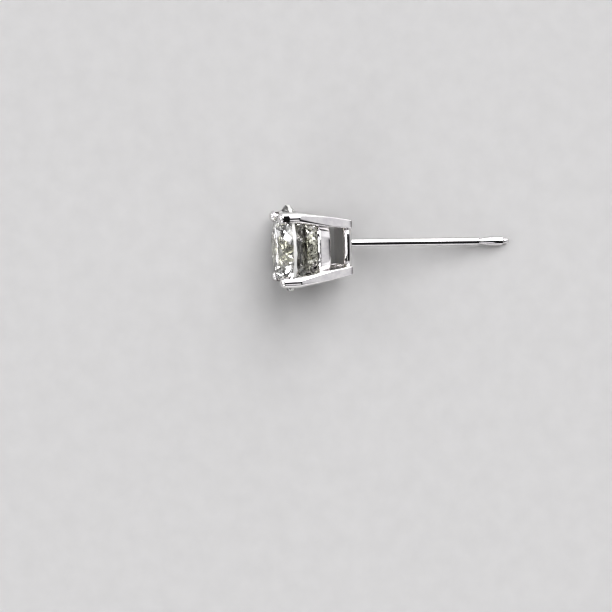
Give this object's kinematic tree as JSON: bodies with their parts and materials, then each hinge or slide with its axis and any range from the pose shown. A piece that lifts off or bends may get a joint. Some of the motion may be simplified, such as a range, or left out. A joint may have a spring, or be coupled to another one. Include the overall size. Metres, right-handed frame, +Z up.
{
  "type": "stud earring",
  "caption": "Stud earring with a round brilliant stone held by claws in an open tapered basket, on a straight grooved post; shown lying on its side.",
  "frame": {"origin": "bottom centre of the bounding box, on the surface that the earring lies on", "axes": "+Z up from that surface, +X along the earring from the stone to the end of the post, +Y to the side"},
  "size_m": [0.0186, 0.0062, 0.0062],
  "materials": {
    "white_gold": "rhodium-plated, polished",
    "diamond": "faceted, polished"
  },
  "bodies": {
    "root": {"setting": "white_gold", "stone": "diamond"}
  },
  "joints": []
}
